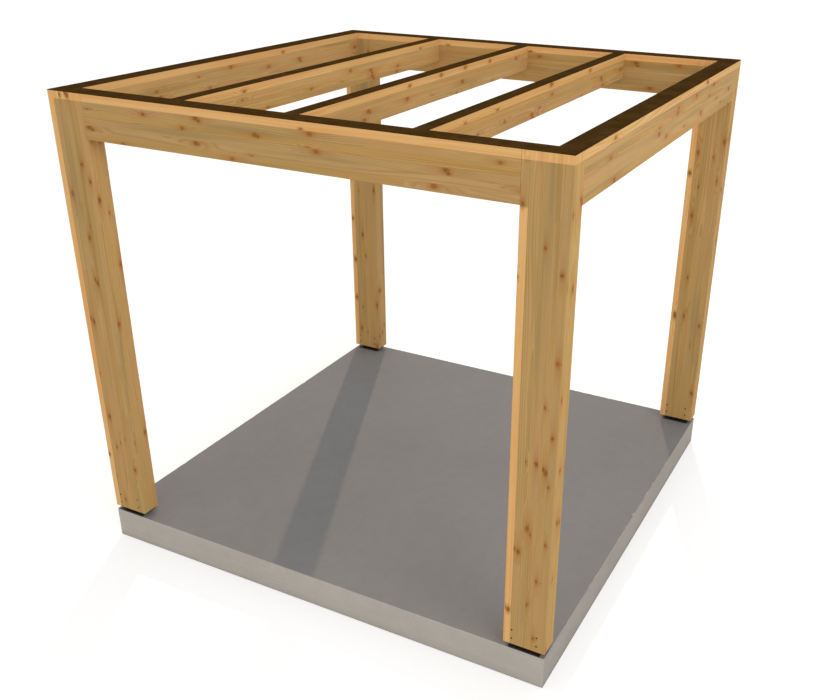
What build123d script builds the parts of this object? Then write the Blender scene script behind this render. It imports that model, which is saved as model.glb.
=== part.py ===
from build123d import *
import os

# An open timber pergola on a base slab: four posts on steel feet, four beams let in between the posts,
# rafters between the front and back beams, and a dark cover strip on every upper face.
# Millimetres, +Z up, the origin at the centre of the slab's underside, the front towards -Y.

# Plan outline, the same for the frame and the slab
frame_width = 3000.0
frame_depth = 3000.0

# Base slab
slab_thickness = 200.0

# Posts, wide faces to the front and back, held clear of the slab by their feet
post_width = 240.0
post_depth = 120.0
post_length = 2630.0
foot_gap = 30.0

# Beams between the posts, flush with their outer faces and tops. The front and back beams are as thick
# as the posts are deep, and beam_thickness is that of the left and right beams.
beam_thickness = 120.0
beam_height = 240.0

# Rafters between the front and back beams, flush with their tops, in equal bays
rafter_thickness = 80.0
rafter_height = 160.0
rafter_names = ("left", "middle", "right")

# Planed bevel along the open edges of the timbers
arris = 3.0

# Cover strips, as wide as the timber below
strip_thickness = 3.0

# Steel feet: a base plate with an upright blade in a slot of the post
foot_length = 180.0
plate_thickness = 6.0
blade_thickness = 8.0
slot_clearance = 0.5

# Dowels through each post and its blade, two wide and two high
dowel_diameter = 12.0
dowel_spacing = 142.0
dowel_rise = 56.0
dowel_edge = 37.0

# Levels
slab_top = slab_thickness
plate_top = slab_top + plate_thickness
post_foot = slab_top + foot_gap
blade_top = post_foot + dowel_rise + 2 * dowel_edge
frame_top = post_foot + post_length
beam_underside = frame_top - beam_height
rafter_underside = frame_top - rafter_height

# Half sizes of the plan, of the space between the posts, which the front and back beams continue, and
# of the space between the left and right beams
half_width = frame_width / 2
half_depth = frame_depth / 2
clear_half_width = half_width - post_width
clear_half_depth = half_depth - post_depth
bay_half_width = half_width - beam_thickness

sides = {"left": -1, "right": 1}
ends = {"front": -1, "back": 1}


# A box between two places on each axis
def block(x_span, y_span, z_span):
    spans = (x_span, y_span, z_span)
    low_corner = [min(span) for span in spans]
    lengths = [max(span) - min(span) for span in spans]
    return Pos(*low_corner) * Box(*lengths, align=(Align.MIN, Align.MIN, Align.MIN))


# The two places at half a size to each side of a centre
def around(centre, size):
    return (centre - size / 2, centre + size / 2)


# A level timber with its two lower long edges bevelled
def level_timber(x_span, y_span, z_span, run):
    timber = block(x_span, y_span, z_span)
    lower_edges = timber.edges().filter_by(run).group_by(Axis.Z)[0]
    return chamfer(lower_edges, arris)


# The four dowels of one post, from its front face to its back face
def dowels(centre_x, centre_y):
    rods = []
    for side in sides.values():
        for level in (post_foot + dowel_edge, post_foot + dowel_edge + dowel_rise):
            centre = Pos(centre_x + side * dowel_spacing / 2, centre_y, level)
            rods.append(centre * Rot(90, 0, 0) * Cylinder(dowel_diameter / 2, post_depth))
    return rods


# A post with bevelled edges, slotted from below for the blade of its foot
def post(centre_x, centre_y):
    timber = block(around(centre_x, post_width), around(centre_y, post_depth), (post_foot, frame_top))
    timber = chamfer(timber.edges().filter_by(Axis.Z), arris)
    slot = block(
        around(centre_x, foot_length + 2 * slot_clearance),
        around(centre_y, blade_thickness + 2 * slot_clearance),
        (post_foot, blade_top + slot_clearance),
    )
    return timber - slot - dowels(centre_x, centre_y)


# A foot: the base plate on the slab, as deep as the post, and the blade that stands on it
def foot(centre_x, centre_y):
    plate = block(around(centre_x, foot_length), around(centre_y, post_depth), (slab_top, plate_top))
    blade = block(around(centre_x, foot_length), around(centre_y, blade_thickness), (plate_top, blade_top))
    return plate + blade - dowels(centre_x, centre_y)


pieces = {}

pieces["base_slab"] = block((-half_width, half_width), (-half_depth, half_depth), (0, slab_top))

# Corners: post, foot and dowels
for end_name, end in ends.items():
    for side_name, side in sides.items():
        corner = f"{end_name}_{side_name}"
        corner_x = side * (half_width - post_width / 2)
        corner_y = end * (half_depth - post_depth / 2)
        pieces[f"{corner}_post"] = post(corner_x, corner_y)
        pieces[f"{corner}_foot"] = foot(corner_x, corner_y)
        pieces[f"{corner}_dowels"] = Compound(dowels(corner_x, corner_y))

# Front and back beams between the posts, each with a strip that also covers the posts
for end_name, end in ends.items():
    across = (end * clear_half_depth, end * half_depth)
    pieces[f"{end_name}_beam"] = level_timber(
        (-clear_half_width, clear_half_width), across, (beam_underside, frame_top), Axis.X
    )
    pieces[f"{end_name}_strip"] = block(
        (-half_width, half_width), across, (frame_top, frame_top + strip_thickness)
    )

# Left and right beams between the posts, with strips between the front and back strips
for side_name, side in sides.items():
    across = (side * bay_half_width, side * half_width)
    pieces[f"{side_name}_beam"] = level_timber(
        across, (-clear_half_depth, clear_half_depth), (beam_underside, frame_top), Axis.Y
    )
    pieces[f"{side_name}_strip"] = block(
        across, (-clear_half_depth, clear_half_depth), (frame_top, frame_top + strip_thickness)
    )

# Rafters and their strips, with equal bays between the side beams
rafter_count = len(rafter_names)
bay_width = (2 * bay_half_width - rafter_count * rafter_thickness) / (rafter_count + 1)
for number, rafter_name in enumerate(rafter_names):
    rafter_left = -bay_half_width + bay_width + number * (bay_width + rafter_thickness)
    across = (rafter_left, rafter_left + rafter_thickness)
    along = (-clear_half_depth, clear_half_depth)
    pieces[f"{rafter_name}_rafter"] = level_timber(across, along, (rafter_underside, frame_top), Axis.Y)
    pieces[f"{rafter_name}_rafter_strip"] = block(across, along, (frame_top, frame_top + strip_thickness))

os.makedirs("parts", exist_ok=True)
for name, piece in pieces.items():
    export_step(piece, f"parts/{name}.step")
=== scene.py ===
import math

import bpy
import numpy as np
from mathutils import Matrix, Vector


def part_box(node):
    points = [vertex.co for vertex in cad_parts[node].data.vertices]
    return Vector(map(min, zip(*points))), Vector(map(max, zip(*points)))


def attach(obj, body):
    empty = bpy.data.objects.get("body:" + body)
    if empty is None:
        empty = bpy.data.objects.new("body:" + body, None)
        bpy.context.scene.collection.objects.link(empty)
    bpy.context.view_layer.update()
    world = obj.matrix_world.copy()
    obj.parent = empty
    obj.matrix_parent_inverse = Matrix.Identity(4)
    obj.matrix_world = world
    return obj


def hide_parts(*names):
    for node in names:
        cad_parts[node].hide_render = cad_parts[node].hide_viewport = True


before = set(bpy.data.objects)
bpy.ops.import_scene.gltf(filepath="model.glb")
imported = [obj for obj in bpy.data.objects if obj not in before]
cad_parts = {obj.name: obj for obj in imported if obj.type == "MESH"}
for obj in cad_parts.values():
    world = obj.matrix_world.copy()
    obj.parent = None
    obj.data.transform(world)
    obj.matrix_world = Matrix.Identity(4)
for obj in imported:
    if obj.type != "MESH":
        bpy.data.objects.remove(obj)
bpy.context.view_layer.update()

scene = bpy.context.scene
scene.view_settings.view_transform = "Standard"
print("frame loaded:", len(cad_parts), "nodes")


# Colours are written as on a screen, 0 to 255, and turned into linear light here by the screen's curve
def screenColor(red, green, blue):
    share = np.array([red, green, blue]) / 255.0
    light = np.where(share <= 0.04045, share / 12.92, ((share + 0.055) / 1.055) ** 2.4)
    return (*light.tolist(), 1.0)


# The lowest and highest corner of a node, as arrays
def nodeBox(node):
    return tuple(np.array(corner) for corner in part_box(node))


# Corners of a closed outline, each swapped for an arc of its own radius. The arc's centre lies on the
# corner's bisector at radius / sin(half the corner's angle), and its points turn evenly from one tangent
# point to the other. Leading axes are kept, so a whole run of outlines is worked out at once.
def roundedOutline(corners, radii, steps):
    corners = np.asarray(corners, float)
    radii = np.broadcast_to(np.asarray(radii, float), corners.shape[:-1])[..., None]
    toBefore = np.roll(corners, 1, axis=-2) - corners
    toAfter = np.roll(corners, -1, axis=-2) - corners
    toBefore = toBefore / np.linalg.norm(toBefore, axis=-1, keepdims=True)
    toAfter = toAfter / np.linalg.norm(toAfter, axis=-1, keepdims=True)
    bisector = toBefore + toAfter
    bisector = bisector / np.linalg.norm(bisector, axis=-1, keepdims=True)
    half = np.arccos(np.clip((toBefore * toAfter).sum(-1, keepdims=True), -1, 1)) / 2
    centre = corners + bisector * radii / np.sin(half)
    first = (corners + toBefore * radii / np.tan(half) - centre)[..., None, :]
    last = (corners + toAfter * radii / np.tan(half) - centre)[..., None, :]
    turn = (math.pi - 2 * half)[..., None, :]
    share = np.linspace(0, 1, steps + 1)[:, None]
    arc = (np.sin((1 - share) * turn) * first + np.sin(share * turn) * last) / np.sin(turn)
    points = centre[..., None, :] + arc
    return points.reshape(*corners.shape[:-2], -1, 2)


# A slow unevenness along a length: the mean of sine waves of rising pitch, each with a phase drawn from
# the seed
def wander(along, seed, pitches=(0.7, 1.9, 4.3, 9.1, 17.0)):
    phases = np.random.default_rng(seed).uniform(0, 2 * math.pi, len(pitches))
    waves = np.sin(2 * math.pi * np.asarray(along)[..., None] * np.array(pitches) + phases)
    return waves.mean(axis=-1)


# Rings of points in a row make a closed shell: grid place (i, j) is point j of ring i, each cell is one
# quad, and the end rings are closed flat. A leading axis holds the several shells of one piece.
def makePiece(name, rings, material, nodes=(), attributes=None, sharpAngle=50):
    rings = np.asarray(rings, float)
    rings = rings[None] if rings.ndim == 3 else rings
    shells, ringCount, pointCount, _ = rings.shape
    points = rings.reshape(-1, 3)
    start = np.arange(shells)[:, None, None] * ringCount * pointCount
    row = np.arange(ringCount - 1)[None, :, None] * pointCount
    here = np.arange(pointCount)[None, None, :]
    after = (here + 1) % pointCount
    cell = (row + here, row + after, row + pointCount + after, row + pointCount + here)
    quads = np.stack([start + place for place in cell], axis=-1).reshape(-1, 4)
    firstCaps = start[:, 0] + here[0, :, ::-1]
    lastCaps = start[:, 0] + (ringCount - 1) * pointCount + here[0]
    faces = [quads, firstCaps, lastCaps]
    # the shell's volume comes out negative where its faces point inwards
    spread = points[quads] - points.mean(axis=0)
    volume = np.einsum("ij,ij->i", spread[:, 0], np.cross(spread[:, 1], spread[:, 2])).sum()
    volume += np.einsum("ij,ij->i", spread[:, 0], np.cross(spread[:, 2], spread[:, 3])).sum()
    if volume < 0:
        faces = [face[:, ::-1] for face in faces]
    mesh = bpy.data.meshes.new(name)
    mesh.from_pydata(points.tolist(), [], sum((face.tolist() for face in faces), []))
    for key, values in (attributes or {}).items():
        layer = mesh.attributes.new(key, "FLOAT_VECTOR", "POINT")
        layer.data.foreach_set("vector", np.asarray(values, np.float32).ravel())
    mesh.shade_smooth()
    mesh.set_sharp_from_angle(angle=math.radians(sharpAngle))
    mesh.materials.append(material)
    piece = bpy.data.objects.new(name, mesh)
    scene.collection.objects.link(piece)
    normals = piece.modifiers.new("flatFaces", "WEIGHTED_NORMAL")
    normals.keep_sharp = True
    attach(piece, "root")
    if nodes:
        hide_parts(*nodes)


# A node of a shader tree, with its inputs either linked or set
def addNode(tree, kind, inputs=None, **settings):
    made = tree.nodes.new("ShaderNode" + kind)
    for key, value in settings.items():
        setattr(made, key, value)
    join(tree, made, inputs or {})
    return made


def join(tree, node, inputs):
    for key, value in inputs.items():
        if isinstance(value, bpy.types.NodeSocket):
            tree.links.new(value, node.inputs[key])
        else:
            node.inputs[key].default_value = value


def calc(tree, operation, *values):
    return addNode(tree, "Math", dict(enumerate(values)), operation=operation).outputs[0]


def times(tree, first, second):
    return calc(tree, "MULTIPLY", first, second)


# A value times its weight, added to a base
def weigh(tree, value, weight, base):
    return calc(tree, "MULTIPLY_ADD", value, weight, base)


# The root of the sum of two squares
def distance(tree, a, b):
    return calc(tree, "SQRT", calc(tree, "ADD", times(tree, a, a), times(tree, b, b)))


def combine(tree, x, y, z):
    return addNode(tree, "CombineXYZ", {0: x, 1: y, 2: z}).outputs[0]


def split(tree, vector):
    return addNode(tree, "SeparateXYZ", {0: vector}).outputs


# The three parts of a vector that the mesh carries at its points
def carried(tree, name):
    return split(tree, addNode(tree, "Attribute", attribute_name=name).outputs["Vector"])


def objectPlace(tree):
    return addNode(tree, "TexCoord").outputs["Object"]


def surfaceFacing(tree):
    return addNode(tree, "NewGeometry").outputs["Normal"]


# A value between low and high, taken smoothly to toLow and toHigh
def smooth(tree, value, low, high, toLow=0.0, toHigh=1.0):
    spans = {"Value": value, "From Min": low, "From Max": high, "To Min": toLow, "To Max": toHigh}
    return addNode(tree, "MapRange", spans, interpolation_type="SMOOTHSTEP").outputs[0]


def noise(tree, vector, scale, detail, roughness):
    inputs = {"Vector": vector, "Scale": scale, "Detail": detail, "Roughness": roughness}
    return addNode(tree, "TexNoise", inputs).outputs[0]


# Noise stretched by its own number of cells a metre on each axis
def grainNoise(tree, places, cells, detail, roughness):
    stretched = [times(tree, place, count) for place, count in zip(places, cells)]
    return noise(tree, combine(tree, *stretched), 1.0, detail, roughness)


def mixValue(tree, factor, first, second):
    return addNode(tree, "Mix", {0: factor, 2: first, 3: second}).outputs[0]


def mixColor(tree, factor, first, second):
    made = addNode(tree, "Mix", data_type="RGBA")
    join(tree, made, {0: factor, 6: first, 7: second})
    return made.outputs[2]


def bumpNormal(tree, height, strength, depth):
    inputs = {"Strength": strength, "Distance": depth, "Height": height}
    return addNode(tree, "Bump", inputs).outputs[0]


# 1 for what the camera, a mirror or glass sees, 0 for light on its way to a surface
def seenDirectly(tree):
    path = addNode(tree, "LightPath").outputs
    mirrored = calc(tree, "MAXIMUM", path["Is Glossy Ray"], path["Is Transmission Ray"])
    return calc(tree, "MAXIMUM", path["Is Camera Ray"], mirrored)


def newMaterial(name):
    material = bpy.data.materials.new(name)
    material.use_nodes = True
    return material, material.node_tree, material.node_tree.nodes["Principled BSDF"]


# Lengths are in metres. A noise is given by its cells a metre along, across the stack and across the
# breadth, then its detail and roughness. A ramp goes from low to high, and then gives its two ends.
timberLook = {
    "pale": screenColor(202, 162, 101),
    "late": screenColor(169, 126, 68),
    "streak": screenColor(179, 133, 77),
    "salmon": screenColor(205, 153, 99),
    "olive": screenColor(163, 136, 86),
    # colours of a painted strip of sunlight along the tops and down the posts' left edges
    "outer": screenColor(242, 193, 126),
    "outerWarm": screenColor(238, 175, 106),
    "shade": screenColor(96, 66, 38),
    "knotHeart": screenColor(116, 78, 38),
    "knotRed": screenColor(152, 90, 46),
    "knotWarm": screenColor(164, 112, 58),
    "knotHalo": screenColor(178, 120, 60),
    # boards
    "lamella": 0.040,
    "boardLength": 2.7,
    "fingerLength": 0.012,
    "fingerPitch": 0.0042,
    "startSeed": 17.3,
    "pithSeed": 0.5,
    "tintSeed": 7.5,
    "boardShift": 40.0,  # how far boards lie apart in the noise
    # knots
    "knotSpacing": 0.36,
    "knotScatter": 0.8,
    "knotShare": 0.42,
    "knotRadius": (0.0055, 0.0125),
    "jointClear": 0.07,  # no knot nearer than this to a finger joint
    "flatShift": 3.0,  # sets the knots of flat faces apart from those of edge faces
    "raggedNoise": ((90.0, 160.0, 160.0), 2.0, 0.5),
    "twinAlong": (0.040, -0.020),
    "twinAcross": (0.050, -0.025),
    "twinSize": (0.35, 0.65, 0.70, 0.25),
    "coreStretch": 1.4,
    "coreRamp": (0.75, 1.20, 1.0, 0.0),
    "emberStretch": 2.0,
    "emberRamp": (0.6, 2.4, 1.0, 0.0),
    "haloStretch": 5.0,
    "haloRamp": (0.5, 3.4, 1.0, 0.0),
    "knotRings": 3.3,
    "knotRingRamp": (0.25, 0.95),
    "rimRamp": (0.62, 0.95),
    "rimBySize": (0.4, 0.7, 0.1, 0.75),
    # year rings
    "ringWidth": 0.0036,
    "pithSpread": (0.12, 0.22),
    "bendNoise": ((0.9, 5.0, 5.0), 1.0, 0.5),
    "bendDepth": 0.022,
    "knotPush": 0.006,
    "lateRise": (0.30, 0.90),
    "lateFall": (0.93, 1.0, 1.0, 0.0),
    # streaks, fibres and cloudy patches along the grain
    "streakNoise": ((0.8, 46.0, 46.0), 3.0, 0.6),
    "bandNoise": ((0.7, 17.0, 17.0), 2.0, 0.5),
    "fibreNoise": ((9.0, 720.0, 720.0), 2.0, 0.5),
    "cloudNoise": ((2.2, 9.0, 9.0), 2.0, 0.5),
    # shares of the colours
    "lateShare": 0.55,
    "streakRamp": (0.46, 0.74, 0.0, 0.60),
    "salmonRamp": (0.50, 0.72, 0.0, 0.55),
    "oliveRamp": (0.48, 0.28, 0.0, 0.60),
    "haloShare": 0.35,
    "boardHue": (0.0035, 0.5012),
    "boardStrength": (0.07, 0.95),
    "boardValue": (0.06, 0.872),
    "cloudValue": 0.16,
    # how much the painted sunlit strip brightens, and how it fades on side faces and late wood
    "outerValue": 0.12,
    "outerRamp": (0.40, 0.64),
    "outerSideways": (-0.45, 1.0),
    "outerLate": -0.26,
    "emberShare": 0.68,
    "redRamp": (0.4, 0.7),
    "warmRamp": (0.0, 0.75),
    "knotRingShare": 0.35,
    "coreShare": 0.86,
    "seamRamp": (0.0002, 0.0009, 0.24, 0.0),
    "fibreRamp": (0.35, 0.75),
    "fibreShade": 0.09,
    "arrisShade": 0.04,
    "endShade": 0.22,
    # surface
    "fibreRelief": 0.7,
    "lateRelief": 0.5,
    "seamRelief": -1.5,
    "coreRelief": 0.6,
    "bump": (0.35, 0.0005),
    "roughness": (0.22, 0.55),
    "specular": 0.1,
}


# Every timber carries three vectors. "grain" is its place along, across the stack of lamellas and across
# their breadth. "facing" marks the faces that show a lamella's flat side, the eased edges and the ends.
# The third vector is the distance from a post's left side, from the top, and below where a post's painted
# sunlight ends.
# A lamella is one step of the stack, and boards follow each other in it from finger joint to finger joint.
# Year rings are the distance from a pith drawn for each board, plus noise and the push of near knots.
def makeTimberMaterial():
    look = timberLook
    lamellaSize, boardLength = look["lamella"], look["boardLength"]
    material, tree, shader = newMaterial("gluedTimber")
    along, stack, breadth = carried(tree, "grain")
    flat, arris, end = carried(tree, "facing")
    fromLeft, fromTop, belowPaintedLitEnd = carried(tree, "outer")
    onFlat = calc(tree, "GREATER_THAN", flat, 0.5)
    onEdge = calc(tree, "SUBTRACT", 1.0, onFlat)

    # the lamella and board under this place, with the zigzag of a finger joint between boards
    lamella = calc(tree, "FLOOR", calc(tree, "DIVIDE", stack, lamellaSize))
    inLamella = calc(tree, "SUBTRACT", stack, times(tree, lamella, lamellaSize))
    fingerHalf = look["fingerPitch"] / 2
    zigzag = times(tree, calc(tree, "PINGPONG", stack, fingerHalf), look["fingerLength"] / fingerHalf)
    startPlace = {"W": calc(tree, "ADD", lamella, look["startSeed"])}
    start = addNode(tree, "TexWhiteNoise", startPlace, noise_dimensions="1D").outputs[0]
    boardAlong = weigh(tree, start, boardLength, along)
    board = calc(tree, "DIVIDE", calc(tree, "ADD", boardAlong, zigzag), boardLength)
    board = calc(tree, "FLOOR", board)

    # three numbers drawn for each board
    def drawn(seed):
        inputs = {"Vector": combine(tree, lamella, board, seed)}
        return split(tree, addNode(tree, "TexWhiteNoise", inputs).outputs["Color"])

    pithStack, pithBreadth, shift = drawn(look["pithSeed"])
    tintHue, tintStrength, tintValue = drawn(look["tintSeed"])
    ownAlong = weigh(tree, shift, look["boardShift"], along)

    # painted sunlight: a paler strip on the upper lamella, across the post tops too, and on the left
    # lamella of a post
    inLeft = calc(tree, "LESS_THAN", fromLeft, lamellaSize)
    onPaintedLitLeft = times(tree, inLeft, calc(tree, "GREATER_THAN", belowPaintedLitEnd, zigzag))
    onPaintedLitStrip = calc(tree, "MAXIMUM", onPaintedLitLeft, calc(tree, "LESS_THAN", fromTop, lamellaSize))

    # knots: one in some cells of a grid laid over the face, some with a smaller one beside them
    across = mixValue(tree, onFlat, stack, calc(tree, "ADD", breadth, look["flatShift"]))
    cellAlong = calc(tree, "DIVIDE", ownAlong, look["knotSpacing"])
    cellAcross = calc(tree, "DIVIDE", across, lamellaSize)
    cells = combine(tree, cellAlong, cellAcross, 0.0)
    scattered = {"Vector": cells, "Scale": 1.0, "Randomness": look["knotScatter"]}
    grid = addNode(tree, "TexVoronoi", scattered, voronoi_dimensions="2D")
    knotPlace = grid.outputs["Position"]
    away = addNode(tree, "VectorMath", {0: cells, 1: knotPlace}, operation="SUBTRACT").outputs[0]
    awayAlong, awayAcross, _ = split(tree, away)
    awayAlong = times(tree, awayAlong, look["knotSpacing"])
    awayAcross = times(tree, awayAcross, lamellaSize)
    chance, size, twin = split(tree, grid.outputs["Color"])
    present = calc(tree, "LESS_THAN", chance, look["knotShare"])
    knotRow = calc(tree, "FLOOR", split(tree, knotPlace)[1])
    ownRow = calc(tree, "COMPARE", knotRow, calc(tree, "FLOOR", cellAcross), 0.5)
    present = times(tree, present, calc(tree, "MAXIMUM", ownRow, onFlat))
    fromJoint = calc(tree, "PINGPONG", calc(tree, "SUBTRACT", boardAlong, awayAlong), boardLength / 2)
    present = times(tree, present, calc(tree, "GREATER_THAN", fromJoint, look["jointClear"]))
    smallest, largest = look["knotRadius"]
    radius = addNode(tree, "MapRange", {"Value": size, "To Min": smallest, "To Max": largest}).outputs[0]
    ragged = grainNoise(tree, (along, across, breadth), *look["raggedNoise"])
    raggedRadius = times(tree, radius, calc(tree, "ADD", ragged, 0.5))
    twinAlong = weigh(tree, size, *look["twinAlong"])
    twinAcross = weigh(tree, twin, *look["twinAcross"])
    twinSize = smooth(tree, twin, *look["twinSize"])

    # distance from a knot or its twin, in radii, with both drawn out along the grain
    def knotAt(besideAlong, besideAcross, reach, stretch):
        a = calc(tree, "DIVIDE", calc(tree, "SUBTRACT", awayAlong, besideAlong), stretch)
        b = calc(tree, "SUBTRACT", awayAcross, besideAcross)
        return calc(tree, "DIVIDE", distance(tree, a, b), reach)

    def nearKnot(reach, stretch):
        own = knotAt(0.0, 0.0, reach, stretch)
        beside = knotAt(twinAlong, twinAcross, times(tree, reach, twinSize), stretch)
        return calc(tree, "MINIMUM", own, beside)

    nearest = nearKnot(raggedRadius, look["coreStretch"])
    core = times(tree, smooth(tree, nearest, *look["coreRamp"]), present)
    nearEmber = nearKnot(radius, look["emberStretch"])
    ember = times(tree, smooth(tree, nearEmber, *look["emberRamp"]), present)
    nearHalo = nearKnot(radius, look["haloStretch"])
    halo = times(tree, smooth(tree, nearHalo, *look["haloRamp"]), present)
    knotRing = calc(tree, "FRACT", times(tree, nearest, look["knotRings"]))
    knotRing = smooth(tree, knotRing, *look["knotRingRamp"])
    rim = times(tree, smooth(tree, nearest, *look["rimRamp"]), smooth(tree, size, *look["rimBySize"]))

    # year rings
    places = (ownAlong, stack, breadth)
    spreadStack, spreadBreadth = look["pithSpread"]
    fromMiddle = calc(tree, "ADD", inLamella, spreadStack / 2 - lamellaSize / 2)
    pithUp = weigh(tree, pithStack, -spreadStack, fromMiddle)
    pithAside = weigh(tree, pithBreadth, -spreadBreadth, calc(tree, "ADD", breadth, spreadBreadth / 4))
    pith = distance(tree, pithUp, pithAside)
    pith = weigh(tree, grainNoise(tree, places, *look["bendNoise"]), look["bendDepth"], pith)
    pith = weigh(tree, halo, look["knotPush"], pith)
    ring = calc(tree, "FRACT", calc(tree, "DIVIDE", pith, look["ringWidth"]))
    late = times(tree, smooth(tree, ring, *look["lateRise"]), smooth(tree, ring, *look["lateFall"]))

    streak = grainNoise(tree, places, *look["streakNoise"])
    band = grainNoise(tree, (along, stack, breadth), *look["bandNoise"])
    fibre = grainNoise(tree, places, *look["fibreNoise"])
    cloud = grainNoise(tree, places, *look["cloudNoise"])

    # the wood's colour, then each board's own tint
    wood = mixColor(tree, times(tree, late, look["lateShare"]), look["pale"], look["late"])
    wood = mixColor(tree, smooth(tree, streak, *look["streakRamp"]), wood, look["streak"])
    wood = mixColor(tree, smooth(tree, band, *look["salmonRamp"]), wood, look["salmon"])
    wood = mixColor(tree, smooth(tree, band, *look["oliveRamp"]), wood, look["olive"])
    wood = mixColor(tree, times(tree, halo, look["haloShare"]), wood, look["knotHalo"])
    value = weigh(tree, tintValue, *look["boardValue"])
    value = weigh(tree, cloud, look["cloudValue"], value)
    # the painted sunlit strip is brighter
    value = weigh(tree, onPaintedLitStrip, look["outerValue"], value)
    tint = {
        "Hue": weigh(tree, tintHue, *look["boardHue"]),
        "Saturation": weigh(tree, tintStrength, *look["boardStrength"]),
        "Value": value,
        "Color": wood,
    }
    wood = addNode(tree, "HueSaturation", tint).outputs[0]

    # the painted sunlit strip is palest on faces to the front and back, fainter on faces to the sides
    outer = mixColor(tree, smooth(tree, streak, *look["outerRamp"]), look["outer"], look["outerWarm"])
    sideways = calc(tree, "ABSOLUTE", split(tree, surfaceFacing(tree))[0])
    outerShare = weigh(tree, late, look["outerLate"], weigh(tree, sideways, *look["outerSideways"]))
    wood = mixColor(tree, times(tree, outerShare, onPaintedLitStrip), wood, outer)

    # knots over the wood
    wood = mixColor(tree, times(tree, ember, look["emberShare"]), wood, look["knotHalo"])
    heart = mixColor(tree, smooth(tree, twin, *look["redRamp"]), look["knotHeart"], look["knotRed"])
    knot = mixColor(tree, smooth(tree, nearest, *look["warmRamp"]), heart, look["knotWarm"])
    knot = mixColor(tree, weigh(tree, knotRing, look["knotRingShare"], rim), knot, heart)
    wood = mixColor(tree, times(tree, core, look["coreShare"]), wood, knot)

    # glue seams, fibres, eased edges and ends are darker
    seam = calc(tree, "MINIMUM", inLamella, calc(tree, "SUBTRACT", lamellaSize, inLamella))
    seam = times(tree, smooth(tree, seam, *look["seamRamp"]), onEdge)
    shade = weigh(tree, smooth(tree, fibre, *look["fibreRamp"]), look["fibreShade"], seam)
    shade = weigh(tree, arris, look["arrisShade"], shade)
    shade = weigh(tree, end, look["endShade"], shade)
    wood = mixColor(tree, shade, wood, look["shade"])

    relief = weigh(tree, late, look["lateRelief"], times(tree, fibre, look["fibreRelief"]))
    relief = weigh(tree, seam, look["seamRelief"], relief)
    relief = weigh(tree, core, look["coreRelief"], relief)
    join(tree, shader, {
        "Base Color": wood,
        "Roughness": weigh(tree, fibre, *look["roughness"]),
        "Normal": bumpNormal(tree, relief, *look["bump"]),
        "Specular IOR Level": look["specular"],
    })
    return material


timberShape = {
    "ease": 0.003,
    "tight": 0.0006,
    "endEase": 0.0015,
    "uneven": 0.45,
    "arcSteps": 4,
    "endRings": 4,
    "station": 0.025,
    "seedStep": 40,
    "shift": 20.0,  # how far timbers lie apart in the noise
}
axisOf = {"X": 0, "Y": 1, "Z": 2}
signs = np.array([[1, 1], [-1, 1], [-1, -1], [1, -1]])


# A planed timber: a rectangle across its run with each corner eased by a radius of its own, which wanders
# a little along the length, carried from end to end; its first and last rings draw in by a quarter round.
# The rings of a slot, if any, come first, so that the shell turns in at its foot.
def timberRings(node, run, stackAxis, radii, number, paintedLitEnd, slot=None):
    shape = timberShape
    low, high = nodeBox(node)
    r, s = axisOf[run], axisOf[stackAxis]
    b = 3 - r - s
    middle, half = (low + high) / 2, (high - low) / 2
    length, ease, steps = 2 * half[r], shape["endEase"], shape["arcSteps"]
    turn = np.linspace(0, math.pi / 2, shape["endRings"])
    endAlong, endInset = ease * (1 - np.cos(turn)), ease * (1 - np.sin(turn))
    body = np.linspace(ease, length - ease, math.ceil(length / shape["station"]))[1:-1]
    along = np.concatenate([endAlong, body, length - endAlong[::-1]])
    inset = np.concatenate([endInset, np.zeros(len(body)), endInset[::-1]])
    size = np.array([half[s], half[b]]) - inset[:, None]
    waves = [wander(along, shape["seedStep"] * number + corner) for corner in range(4)]
    uneven = 1 + shape["uneven"] * np.stack(waves, axis=-1)
    outline = roundedOutline(signs * size[:, None, :], np.array(radii) * uneven, steps)
    rings = np.zeros((*outline.shape[:2], 3))
    rings[..., r] = low[r] + along[:, None]
    rings[..., s] = middle[s] + outline[..., 0]
    rings[..., b] = middle[b] + outline[..., 1]
    endMark = np.zeros(len(along))
    endMark[[0, -1]] = 1
    if slot is not None:
        rings = np.concatenate([slot[::-1], rings])
        endMark = np.concatenate([np.ones(len(slot)), endMark])
    grain = rings[..., [r, s, b]] - low[[r, s, b]]
    grain[..., 0] += shape["shift"] * (number + 1)
    angle = np.linspace(0, math.pi / 2, steps + 1)
    facing = np.zeros_like(rings)
    facing[..., 0] = np.concatenate([np.cos(angle), np.sin(angle)] * 2) ** 2
    facing[..., 1] = np.tile(np.sin(2 * angle), 4)
    facing[..., 2] = endMark[:, None]
    # where the painted sunlight falls: from a post's left side, from the top, and below its end
    outer = np.ones_like(rings)
    if stackAxis == "X":
        outer[..., 0] = rings[..., 0] - low[0]
    outer[..., 1] = high[2] - rings[..., 2]
    outer[..., 2] = paintedLitEnd - rings[..., 2]
    return rings, {"grain": grain, "facing": facing, "outer": outer}


slotShape = {"blade": 0.008, "clearance": 0.0005, "corner": 0.003}


# The slot under a post: the outline of the foot's blade with room round it, from the post's underside up
# past the blade's top
def slotRings(post, foot):
    low, high = nodeBox(post)
    footLow, footHigh = nodeBox(foot)
    half = np.array([(footHigh[0] - footLow[0]) / 2, slotShape["blade"] / 2]) + slotShape["clearance"]
    outline = roundedOutline(signs * half, slotShape["corner"], timberShape["arcSteps"])
    rings = np.zeros((2, len(outline), 3))
    rings[..., :2] = outline + (low[:2] + high[:2]) / 2
    rings[..., 2] = [[low[2]], [footHigh[2] + slotShape["clearance"]]]
    return rings


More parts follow.
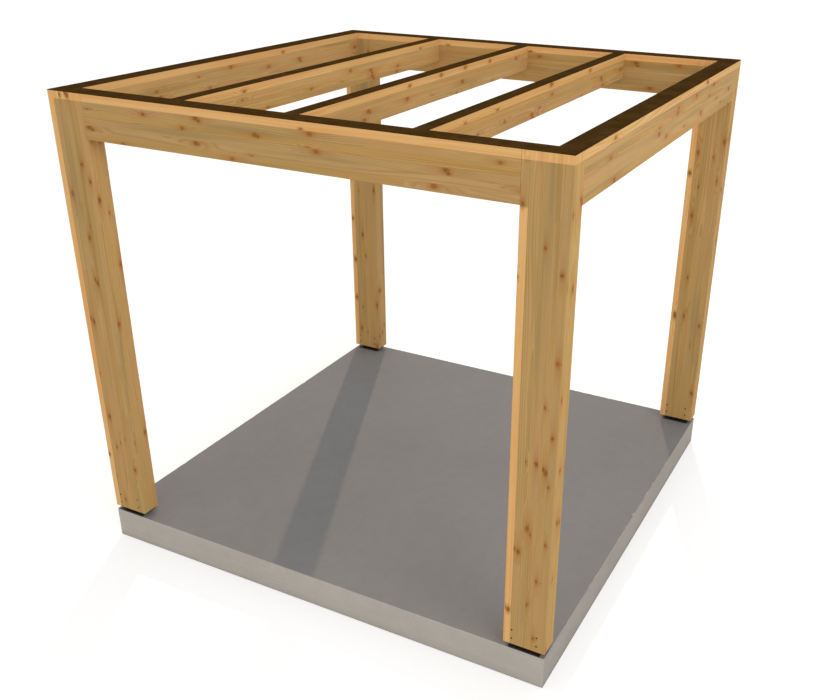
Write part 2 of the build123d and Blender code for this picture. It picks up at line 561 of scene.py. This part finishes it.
gluedTimber = makeTimberMaterial()
eased = (timberShape["ease"],) * 4
easedBelow = (timberShape["tight"], timberShape["ease"], timberShape["ease"], timberShape["tight"])
corners = [f"{endName}_{sideName}" for endName in ("front", "back") for sideName in ("left", "right")]
timbers = [(f"{corner}_post", "Z", "X", eased) for corner in corners]
timbers += [(f"{name}_beam", "X", "Z", easedBelow) for name in ("front", "back")]
timbers += [(f"{name}_beam", "Y", "Z", easedBelow) for name in ("left", "right")]
timbers += [(f"{name}_rafter", "Y", "Z", easedBelow) for name in ("left", "middle", "right")]
beamLow, beamHigh = nodeBox("front_beam")
aboveAll = beamHigh[2] + 1
for number, (node, run, stackAxis, radii) in enumerate(timbers):
    slot = slotRings(node, node.replace("_post", "_foot")) if run == "Z" else None
    # the painted sunlight on a right post's left edge stops under the beam beside it
    paintedLitEnd = beamLow[2] if node.endswith("right_post") else aboveAll
    rings, attributes = timberRings(node, run, stackAxis, radii, number, paintedLitEnd, slot)
    makePiece(node + "_timber", rings, gluedTimber, [node], attributes)
print("timbers:", len(timbers))


# A noise is given by its scale, detail and roughness, and a ramp as for the timber
slabLook = {
    # a darker top and paler sides, which are painted shade and light
    "top": screenColor(128, 128, 128),
    "side": screenColor(180, 173, 164),
    # painted shade inside the air holes
    "paintedHoleShade": screenColor(96, 92, 87),
    "sand": screenColor(176, 170, 162),
    "grit": screenColor(98, 94, 90),
    "topRamp": (0.5, 0.95),
    "cloudNoise": (1.3, 5.0, 0.55),
    "blotchNoise": (9.0, 4.0, 0.6),
    "fineNoise": (55.0, 4.0, 0.65),
    "sandNoise": (420.0, 3.0, 0.7),
    # sweeps of the trowel and marks of the form boards
    "swayNoise": (1.1, 2.0, 0.5),
    "sway": (1.6, -1.1),
    "sweepWave": {"Scale": 2.4, "Distortion": 6.0, "Detail": 4.0},
    "boardNoise": ((1.6, 1.6, 55.0), 3.0, 0.6),
    # air holes: cells a metre, the share of cells with a hole, and the largest radius
    "largeHoles": (42.0, 0.45, 0.0030),
    "smallHoles": (150.0, 0.50, 0.0011),
    "holeRim": 0.25,
    "holeSide": 0.75,
    "holeTop": 0.25,
    "raggedNoise": {"Scale": 260.0, "Detail": 2.0},
    "raggedReach": 0.0022,
    # light and dark
    "evenShade": 0.72,
    "cloudShade": 0.22,
    "blotchShade": 0.22,
    "fineShade": 0.12,
    "sweepShade": 0.02,
    "boardShade": 0.20,
    "wornShade": 0.10,
    # painted light and shade: sides to the front and left lighter, sides to the right and back darker
    "paintedShadeByFacing": (-0.20, -0.15, 0.0),
    # the sides darker towards the bottom
    "darkLowRise": -0.05,
    "darkLowRamp": (-0.03, 0.02, 0.16, 0.0),
    "sandRamp": (0.52, 0.72, 0.0, 0.30),
    "gritRamp": (0.46, 0.28, 0.0, 0.30),
    "chipShare": 0.5,
    # surface
    "blotchRelief": 0.6,
    "fineRelief": 0.5,
    "sandRelief": 0.5,
    "boardRelief": 0.6,
    "holeRelief": -1.6,
    "bump": (0.5, 0.0012),
    "roughSide": 0.78,
    "roughTop": 0.62,
    "roughBlotch": 0.18,
    "specular": 0.3,
}


# Concrete: a darker top and paler sides, painted shade and light told apart by the way the surface faces,
# with clouds, sand and grit, faint sweeps of the trowel on top, faint marks of the form boards and air
# holes on the sides. The mesh carries the worn and the chipped share of its edge.
def makeConcreteMaterial():
    look = slabLook
    material, tree, shader = newMaterial("castConcrete")
    place = objectPlace(tree)
    x, y, z = split(tree, place)
    facing = surfaceFacing(tree)
    topShare = smooth(tree, split(tree, facing)[2], *look["topRamp"])
    sideShare = calc(tree, "SUBTRACT", 1.0, topShare)
    worn, chipped, _ = carried(tree, "edge")
    cloud = noise(tree, place, *look["cloudNoise"])
    blotch = noise(tree, place, *look["blotchNoise"])
    fine = noise(tree, place, *look["fineNoise"])
    sand = noise(tree, place, *look["sandNoise"])
    sway = noise(tree, place, *look["swayNoise"])
    swayX = weigh(tree, sway, look["sway"][0], x)
    swayY = weigh(tree, sway, look["sway"][1], y)
    sweeping = {"Vector": combine(tree, swayX, swayY, 0.0), **look["sweepWave"]}
    sweep = times(tree, addNode(tree, "TexWave", sweeping).outputs["Fac"], topShare)
    boards = grainNoise(tree, (calc(tree, "ADD", x, y), y, z), *look["boardNoise"])
    boards = times(tree, calc(tree, "SUBTRACT", boards, 0.5), sideShare)

    # air holes of two sizes, each a ragged dot in some cells of a grid
    ragged = addNode(tree, "TexNoise", {"Vector": place, **look["raggedNoise"]}).outputs["Color"]
    jitter = {0: ragged, 1: (look["raggedReach"],) * 3, 2: place}
    raggedPlace = addNode(tree, "VectorMath", jitter, operation="MULTIPLY_ADD").outputs[0]

    def airHoles(cellsPerMetre, share, largest):
        grid = addNode(tree, "TexVoronoi", {"Vector": raggedPlace, "Scale": cellsPerMetre})
        reach = largest * cellsPerMetre
        radius = smooth(tree, split(tree, grid.outputs["Color"])[0], 1.0 - share, 1.0, 0.0, reach)
        inside = calc(tree, "SUBTRACT", radius, grid.outputs["Distance"])
        return smooth(tree, inside, 0.0, look["holeRim"] * reach)

    hole = calc(tree, "MAXIMUM", airHoles(*look["largeHoles"]), airHoles(*look["smallHoles"]))
    hole = times(tree, hole, mixValue(tree, topShare, look["holeSide"], look["holeTop"]))

    shade = weigh(tree, cloud, look["cloudShade"], times(tree, blotch, look["blotchShade"]))
    shade = weigh(tree, fine, look["fineShade"], calc(tree, "ADD", shade, look["evenShade"]))
    shade = weigh(tree, sweep, look["sweepShade"], shade)
    shade = weigh(tree, boards, look["boardShade"], shade)
    # painted light and shade by the way a side faces: front and left lighter, right and back darker
    paintedFacingShade = addNode(tree, "VectorMath", {0: facing, 1: look["paintedShadeByFacing"]}, operation="DOT_PRODUCT")
    shade = calc(tree, "ADD", shade, paintedFacingShade.outputs["Value"])
    shade = weigh(tree, worn, look["wornShade"], shade)
    # the sides darker towards the bottom, along a ragged line
    darkLow = smooth(tree, weigh(tree, blotch, look["darkLowRise"], z), *look["darkLowRamp"])
    shade = calc(tree, "SUBTRACT", shade, times(tree, darkLow, sideShare))
    # the darker top and paler sides are painted shade and light
    tone = mixColor(tree, topShare, look["side"], look["top"])
    tone = addNode(tree, "HueSaturation", {"Value": shade, "Color": tone}).outputs[0]
    tone = mixColor(tree, smooth(tree, sand, *look["sandRamp"]), tone, look["sand"])
    tone = mixColor(tree, smooth(tree, sand, *look["gritRamp"]), tone, look["grit"])
    tone = mixColor(tree, times(tree, chipped, look["chipShare"]), tone, look["sand"])
    # the air holes are darkened with painted shade
    tone = mixColor(tree, hole, tone, look["paintedHoleShade"])

    relief = weigh(tree, fine, look["fineRelief"], times(tree, blotch, look["blotchRelief"]))
    relief = weigh(tree, sand, look["sandRelief"], relief)
    relief = weigh(tree, boards, look["boardRelief"], relief)
    relief = weigh(tree, hole, look["holeRelief"], relief)
    rough = mixValue(tree, topShare, look["roughSide"], look["roughTop"])
    join(tree, shader, {
        "Base Color": tone,
        "Roughness": weigh(tree, blotch, look["roughBlotch"], rough),
        "Normal": bumpNormal(tree, relief, *look["bump"]),
        "Specular IOR Level": look["specular"],
    })
    return material


slabShape = {
    "corner": 0.006,
    "cornerSteps": 4,
    "arris": 0.0035,
    "arrisRings": 5,
    "arrisUneven": 0.5,
    "arrisPitches": (1.1, 3.7, 8.3, 19.0, 31.0),
    "arrisSeed": 3,
    "foot": 0.002,
    "spacing": 0.012,
    "topInsets": (0.9, 0.5, 0.15, 0.04),
    "sideLevels": (0.12, 0.05),
    "chips": 44,
    "chipSeed": 7,
    "chipPlace": (0.35, 2.65),
    "chipWidth": (0.006, 0.020),
    "chipDepth": 0.008,
    "chipShare": (0.2, 1.0),
    "chipMark": 3,  # how soon a chip shows its sand
}


# The slab as rings from the middle of its top out to the edge, over the worn arris and down to the floor.
# The arris is a quarter round whose radius wanders along the edge, with bell-shaped chips where it has been
# knocked, none of them beside the feet.
def slabRings():
    shape = slabShape
    low, high = nodeBox("base_slab")
    half = (high - low)[:2] / 2
    perSide = int(2 * half[0] / shape["spacing"])
    arcs = roundedOutline(signs * half, shape["corner"], shape["cornerSteps"]).reshape(4, -1, 2)
    share = np.linspace(0, 1, perSide + 1)[1:-1, None]
    runs = arcs[:, -1][:, None] * (1 - share) + np.roll(arcs[:, 0], -1, axis=0)[:, None] * share
    outline = np.concatenate([arcs, runs], axis=1).reshape(-1, 2)
    tangent = np.roll(outline, -1, axis=0) - np.roll(outline, 1, axis=0)
    outward = np.stack([tangent[:, 1], -tangent[:, 0]], axis=-1)
    outward = outward / np.linalg.norm(tangent, axis=-1, keepdims=True)
    travel = np.concatenate([[0], np.cumsum(np.linalg.norm(np.diff(outline, axis=0), axis=-1))])

    draw = np.random.default_rng(shape["chipSeed"])
    count = shape["chips"]
    sideStart = travel[draw.integers(0, 4, count) * (perSide + shape["cornerSteps"])]
    chipPlace = sideStart + draw.uniform(*shape["chipPlace"], count)
    chipWidth = draw.uniform(*shape["chipWidth"], count)
    chipDepth = shape["chipDepth"] * draw.uniform(*shape["chipShare"], count) ** 2
    chips = (np.exp(-((travel[:, None] - chipPlace) / chipWidth) ** 2) * chipDepth).sum(axis=-1)
    uneven = 1 + shape["arrisUneven"] * wander(travel, shape["arrisSeed"], shape["arrisPitches"])
    radius = shape["arris"] * uneven + chips

    turn = np.linspace(0, math.pi / 2, shape["arrisRings"])[:, None]
    top, foot = high[2], shape["foot"]
    even = np.ones(len(radius))
    topInset = np.array(shape["topInsets"])[:, None] * even
    sideInset = np.array([0, 0, 0, foot])[:, None] * even
    insets = np.concatenate([topInset, radius * (1 - np.sin(turn)), sideInset])
    sideLevel = low[2] + np.array([*shape["sideLevels"], foot, 0])[:, None] * even
    levels = np.concatenate([top * np.ones_like(topInset), top - radius * (1 - np.cos(turn)), sideLevel])
    drawnIn = outline * (1 - insets[..., None] / half)
    setBack = outline - outward * insets[..., None]
    onTop = np.arange(len(insets))[:, None, None] < len(topInset)
    rings = np.zeros((*insets.shape, 3))
    rings[..., :2] = np.where(onTop, drawnIn, setBack)
    rings[..., 2] = levels
    edge = np.zeros_like(rings)
    arrisRows = slice(len(topInset), len(topInset) + len(turn))
    edge[arrisRows, :, 0] = np.sin(2 * turn)
    edge[arrisRows, :, 1] = np.sin(2 * turn) * np.clip(chips / shape["chipDepth"] * shape["chipMark"], 0, 1)
    return rings, {"edge": edge}


rings, attributes = slabRings()
makePiece("base_slab_cast", rings, makeConcreteMaterial(), ["base_slab"], attributes)
print("slab cast")


stripLook = {
    "base": screenColor(69, 49, 21),
    "worn": screenColor(88, 64, 32),
    "deep": screenColor(48, 34, 15),
    "wearNoise": (7.0, 5.0, 0.65),
    "mottleNoise": (60.0, 3.0, 0.6),
    "pebbles": 420.0,  # a metre
    "wearRamp": (0.35, 0.75),
    "mottleRamp": (0.45, 0.75, 0.0, 0.7),
    "pebbleShadeRamp": (0.2, 0.9, 0.0, 0.35),
    "bump": (0.4, 0.0006),
    "roughness": (0.20, 0.75),
    "specular": 0.0,
}


# Rubber-like strip: a dark brown ground with soft wear and a fine pebbled face, with painted shade in the
# hollows between its pebbles
def makeStripMaterial():
    look = stripLook
    material, tree, shader = newMaterial("coverStripRubber")
    place = objectPlace(tree)
    wear = noise(tree, place, *look["wearNoise"])
    mottle = noise(tree, place, *look["mottleNoise"])
    pebbled = {"Vector": place, "Scale": look["pebbles"]}
    pebble = addNode(tree, "TexVoronoi", pebbled, feature="SMOOTH_F1").outputs["Distance"]
    tone = mixColor(tree, smooth(tree, wear, *look["wearRamp"]), look["base"], look["worn"])
    tone = mixColor(tree, smooth(tree, mottle, *look["mottleRamp"]), tone, look["deep"])
    # painted shade in the hollows between the pebbles
    tone = mixColor(tree, smooth(tree, pebble, *look["pebbleShadeRamp"]), tone, look["deep"])
    join(tree, shader, {
        "Base Color": tone,
        "Roughness": weigh(tree, wear, *look["roughness"]),
        "Normal": bumpNormal(tree, times(tree, pebble, -1.0), *look["bump"]),
        "Specular IOR Level": look["specular"],
    })
    return material


stripShape = {
    "edge": 0.0011,
    "lowerEdge": 0.00044,
    "arcSteps": 3,
    "end": 0.0006,
    "endDrop": 0.5,
    "station": 0.05,
    "waver": 0.0004,
    "seed": 500,
}


# A cover strip: a flat rectangle with rounded edges, the upper ones more, carried along the timber, its
# sides wavering a little
def stripRings(node, run, number):
    shape = stripShape
    low, high = nodeBox(node)
    r = axisOf[run]
    b = 1 - r
    middle, half = (low + high) / 2, (high - low) / 2
    length, end = 2 * half[r], shape["end"]
    body = np.linspace(0, length, math.ceil(length / shape["station"]))[1:-1]
    along = np.concatenate([[0, end], body, [length - end, length]])
    inset = np.zeros(len(along))
    inset[[0, -1]] = end
    width = half[b] - inset - shape["waver"] * (1 + wander(along, shape["seed"] + number))
    size = np.stack([width, half[2] - inset * shape["endDrop"]], axis=-1)
    radii = np.array([shape["edge"], shape["edge"], shape["lowerEdge"], shape["lowerEdge"]])
    outline = roundedOutline(signs * size[:, None, :], radii, shape["arcSteps"])
    rings = np.zeros((*outline.shape[:2], 3))
    rings[..., r] = low[r] + along[:, None]
    rings[..., b] = middle[b] + outline[..., 0]
    rings[..., 2] = middle[2] + outline[..., 1]
    return rings


coverStrip = makeStripMaterial()
strips = [(f"{name}_strip", "X") for name in ("front", "back")]
strips += [(f"{name}_strip", "Y") for name in ("left", "right")]
strips += [(f"{name}_rafter_strip", "Y") for name in ("left", "middle", "right")]
for number, (node, run) in enumerate(strips):
    makePiece(node + "_cover", stripRings(node, run, number), coverStrip, [node])
print("cover strips:", len(strips))


footLook = {
    "paint": screenColor(29, 22, 14),
    "rub": screenColor(54, 47, 39),
    "dust": screenColor(92, 86, 78),
    "peelNoise": (380.0, 2.0, 0.5),
    "rubNoise": (40.0, 4.0, 0.6),
    "rubRamp": (0.5, 0.8, 0.0, 0.7),
    "dustLevel": (0.200, 0.212, 0.45, 0.0),  # from the slab's top upwards
    "dustRamp": (0.3, 0.7),
    "bump": (0.25, 0.0004),
    "roughness": (0.3, 0.32),
}


# Painted steel: near black with an orange-peel face, rubbed a little paler in places, and dust low down
def makeFootMaterial():
    look = footLook
    material, tree, shader = newMaterial("blackFootPaint")
    place = objectPlace(tree)
    peel = noise(tree, place, *look["peelNoise"])
    rub = noise(tree, place, *look["rubNoise"])
    level = split(tree, place)[2]
    tone = mixColor(tree, smooth(tree, rub, *look["rubRamp"]), look["paint"], look["rub"])
    dust = times(tree, smooth(tree, level, *look["dustLevel"]), smooth(tree, rub, *look["dustRamp"]))
    tone = mixColor(tree, dust, tone, look["dust"])
    join(tree, shader, {
        "Base Color": tone,
        "Roughness": weigh(tree, rub, *look["roughness"]),
        "Normal": bumpNormal(tree, peel, *look["bump"]),
    })
    return material


dowelLook = {
    "steel": screenColor(62, 50, 38),
    "bright": screenColor(104, 92, 76),
    "dark": screenColor(36, 28, 20),
    "oxideNoise": (180.0, 4.0, 0.65),
    "scratchNoise": (900.0, 2.0, 0.5),
    "oxideRamp": (0.4, 0.7),
    "scratchRamp": (0.55, 0.8, 0.0, 0.5),
    "bump": (0.3, 0.0002),
    "roughness": (0.35, 0.30),
    "metallic": 0.6,
}


# Dark steel for dowels and anchors: brown oxide over grey, with fine marks
def makeDowelMaterial():
    look = dowelLook
    material, tree, shader = newMaterial("darkDowelSteel")
    place = objectPlace(tree)
    oxide = noise(tree, place, *look["oxideNoise"])
    scratch = noise(tree, place, *look["scratchNoise"])
    tone = mixColor(tree, smooth(tree, oxide, *look["oxideRamp"]), look["steel"], look["dark"])
    tone = mixColor(tree, smooth(tree, scratch, *look["scratchRamp"]), tone, look["bright"])
    join(tree, shader, {
        "Base Color": tone,
        "Roughness": weigh(tree, oxide, *look["roughness"]),
        "Normal": bumpNormal(tree, scratch, *look["bump"]),
        "Metallic": look["metallic"],
    })
    return material


footShape = {
    "plate": 0.006,
    "blade": 0.008,
    "root": 0.004,
    "edge": 0.0008,
    "lowerEdge": 0.0004,
    "bladeEdge": 0.0012,
    "end": 0.0006,
    "arcSteps": 3,
}


# A foot: the outline of a plate with an upright blade, filleted at the root as by a weld, carried along
# the post, its ends drawn in a little
def footRings(node):
    shape = footShape
    low, high = nodeBox(node)
    middle, half = (low + high) / 2, (high - low) / 2
    underside, plateTop, bladeTop = low[2], low[2] + shape["plate"], high[2]
    plateHalf, bladeHalf = half[1], shape["blade"] / 2
    profile = np.array([
        [-plateHalf, underside], [plateHalf, underside], [plateHalf, plateTop], [bladeHalf, plateTop],
        [bladeHalf, bladeTop], [-bladeHalf, bladeTop], [-bladeHalf, plateTop], [-plateHalf, plateTop],
    ])
    under, edge, root, tip = (shape[key] for key in ("lowerEdge", "edge", "root", "bladeEdge"))
    radii = np.array([under, under, edge, root, tip, tip, root, edge])
    outline = roundedOutline(profile, radii, shape["arcSteps"])
    centre = np.array([0, (underside + plateTop) / 2])
    length, end = 2 * half[0], shape["end"]
    along = np.array([0, end, length - end, length])
    drawnIn = np.array([1 - end / plateHalf, 1, 1, 1 - end / plateHalf])
    rings = np.zeros((len(along), len(outline), 3))
    rings[..., 0] = low[0] + along[:, None]
    rings[..., 1:] = centre + (outline - centre) * drawnIn[:, None, None] + [middle[1], 0]
    return rings


dowelShape = {
    "diameter": 0.012,
    "spacing": 0.142,
    "levels": (0.037, 0.093),
    "proud": 0.0004,
    "points": 24,
    "domeRadii": (0.35, 0.80, 0.93, 1.0, 1.0),
    "domeDrops": (0.0, 0.00008, 0.00022, 0.0006, 0.010),
}


# The four dowels of a post: a circle turned about a line from face to face, its ends slightly domed
def dowelRings(post):
    shape = dowelShape
    low, high = nodeBox(post)
    middle = (low + high) / 2
    radius, proud = shape["diameter"] / 2, shape["proud"]
    shares, drop = np.array(shape["domeRadii"]), np.array(shape["domeDrops"])
    along = np.concatenate([low[1] - proud + drop, (high[1] + proud - drop)[::-1]])
    radii = radius * np.concatenate([shares, shares[::-1]])[:, None]
    turn = np.linspace(0, 2 * math.pi, shape["points"], endpoint=False)
    sides = np.array([-1, 1, -1, 1]) * shape["spacing"] / 2
    levels = low[2] + np.repeat(shape["levels"], 2)
    rings = np.zeros((4, len(along), len(turn), 3))
    rings[..., 0] = middle[0] + sides[:, None, None] + radii * np.cos(turn)
    rings[..., 1] = along[:, None]
    rings[..., 2] = levels[:, None, None] + radii * np.sin(turn)
    return rings


# Each stack of an anchor lists its sizes, as shares of the radius, and its rises above the plate
anchorShape = {
    "side": 0.060,
    "depth": 0.034,
    "points": 24,
    "hexCorner": 0.06,
    "washer": (0.011, (1, 1, 0.96), (0, 0.0012, 0.0016)),
    "nut": (0.0085, (0.93, 1, 1, 0.93), (0.0016, 0.0022, 0.0086, 0.0094)),
    "stud": (0.0048, (1, 1, 0.8), (0.0094, 0.0134, 0.0144)),
}


# The four anchors of a foot, each one stack of rings: a round washer, a hexagon nut with bevelled ends and
# a stud
def anchorRings(foot):
    shape = anchorShape
    low, high = nodeBox(foot)
    middle = (low + high) / 2
    turn = np.linspace(0, 2 * math.pi, shape["points"], endpoint=False)
    circle = np.stack([np.cos(turn), np.sin(turn)], axis=-1)
    sixth = np.linspace(0, 2 * math.pi, 6, endpoint=False)
    hexPoints = np.stack([np.cos(sixth), np.sin(sixth)], axis=-1) / math.cos(math.pi / 6)
    hexSteps = shape["points"] // 6 - 1
    hexagon = np.roll(roundedOutline(hexPoints, shape["hexCorner"], hexSteps), -2, axis=0)
    outlines, sizes, rises = [], [], []
    for key, outline in (("washer", circle), ("nut", hexagon), ("stud", circle)):
        radius, shares, levels = shape[key]
        outlines += [outline] * len(levels)
        sizes += [radius * share for share in shares]
        rises += levels
    places = middle[:2] + signs * [shape["side"], shape["depth"]]
    rings = np.zeros((4, len(sizes), shape["points"], 3))
    rings[..., :2] = np.stack(outlines) * np.array(sizes)[:, None, None] + places[:, None, None, :]
    rings[..., 2] = (low[2] + footShape["plate"] + np.array(rises))[:, None]
    return rings


footPaint = makeFootMaterial()
dowelSteel = makeDowelMaterial()
for corner in corners:
    post, foot, dowels = f"{corner}_post", f"{corner}_foot", f"{corner}_dowels"
    makePiece(foot + "_tee", footRings(foot), footPaint, [foot], sharpAngle=35)
    makePiece(dowels + "_set", dowelRings(post), dowelSteel, [dowels], sharpAngle=60)
    makePiece(corner + "_anchors", anchorRings(foot), dowelSteel, sharpAngle=35)
print("feet, dowels and anchors:", len(corners))


cameraView = {
    "focalPixels": 976.62,
    "centrePixels": (455.08, 370.08),
    "framePixels": (819, 700),
    "sensor": 36.0,
    "yaw": 27.081,
    "pitch": 25.890,
    "roll": 0.556,
    "eye": (2.8712, -5.2409, 3.8062),
}


# The camera looks along forward, turned left by yaw and down by pitch, and its picture leans by roll. The
# frame's centre lies off the line of sight by the shift, as in a cropped picture.
def makeCamera():
    view = cameraView
    yaw, pitch, roll = (math.radians(view[key]) for key in ("yaw", "pitch", "roll"))
    level = math.cos(pitch)
    forward = Vector((-math.sin(yaw) * level, math.cos(yaw) * level, -math.sin(pitch)))
    right = Vector((math.cos(yaw), math.sin(yaw), 0))
    up = right.cross(forward)
    leanRight = math.cos(roll) * right + math.sin(roll) * up
    leanUp = -math.sin(roll) * right + math.cos(roll) * up
    width, height = view["framePixels"]
    centreX, centreY = view["centrePixels"]
    data = bpy.data.cameras.new("camera")
    data.sensor_fit = "HORIZONTAL"
    data.sensor_width = view["sensor"]
    data.lens = view["focalPixels"] / width * view["sensor"]
    data.shift_x = (width / 2 - centreX) / width
    data.shift_y = (centreY - height / 2) / width
    camera = bpy.data.objects.new("camera", data)
    turned = Matrix((leanRight, leanUp, -forward)).transposed().to_4x4()
    camera.matrix_world = Matrix.Translation(view["eye"]) @ turned
    scene.collection.objects.link(camera)
    scene.camera = camera


lightLook = {
    "world": 0.68,
    "sun": 0.83,
    "sunColor": (1.0, 0.76, 0.545),
    "sunAngle": 0.8,
    "sunBearing": (-0.397, 0.918),
    "sunHeight": 34.0,
    "key": 860.0,
    "keySize": 10.0,
    "keyPlace": (14.0, -7.6, 9.0),
    "keyTarget": (0.0, 0.0, 1.4),
}


# A lamp that shines from the way given
def addLamp(name, data, fromWay):
    lamp = bpy.data.objects.new(name, data)
    lamp.rotation_mode = "QUATERNION"
    lamp.rotation_quaternion = fromWay.to_track_quat("Z", "Y")
    scene.collection.objects.link(lamp)
    return lamp


# An even white surround, a low warm sun from behind on the left, and one wide lamp on the right
def makeLight():
    look = lightLook
    world = bpy.data.worlds.new("studio")
    scene.world = world
    world.use_nodes = True
    tree = world.node_tree
    strength = mixValue(tree, seenDirectly(tree), look["world"], 1.0)
    join(tree, tree.nodes["Background"], {"Color": (1, 1, 1, 1), "Strength": strength})
    sun = bpy.data.lights.new("sun", "SUN")
    sun.energy = look["sun"]
    sun.color = look["sunColor"]
    sun.angle = math.radians(look["sunAngle"])
    height = math.radians(look["sunHeight"])
    bearing = Vector((*look["sunBearing"], 0)).normalized() * math.cos(height)
    addLamp("sun", sun, bearing + Vector((0, 0, math.sin(height))))
    key = bpy.data.lights.new("key", "AREA")
    key.energy = look["key"]
    key.size = look["keySize"]
    keyLamp = addLamp("key", key, Vector(look["keyPlace"]) - Vector(look["keyTarget"]))
    keyLamp.location = look["keyPlace"]


floorLook = {"paper": (0.80, 0.80, 0.80, 1), "lift": 0.40, "roughness": 0.95, "size": 120.0}


# A wide pale floor; what the camera sees of it is lifted to white, and the object's shadow stays on it
def makeFloor():
    look = floorLook
    material, tree, shader = newMaterial("paleFloor")
    join(tree, shader, {
        "Base Color": look["paper"],
        "Roughness": look["roughness"],
        "Specular IOR Level": 0.0,
        "Emission Color": (1, 1, 1, 1),
        "Emission Strength": times(tree, seenDirectly(tree), look["lift"]),
    })
    size = look["size"]
    points = [(-size, -size, 0), (size, -size, 0), (size, size, 0), (-size, size, 0)]
    mesh = bpy.data.meshes.new("floor")
    mesh.from_pydata(points, [], [(0, 1, 2, 3)])
    mesh.materials.append(material)
    floor = bpy.data.objects.new("floor", mesh)
    scene.collection.objects.link(floor)


makeCamera()
makeLight()
makeFloor()
print("camera, light and floor set")
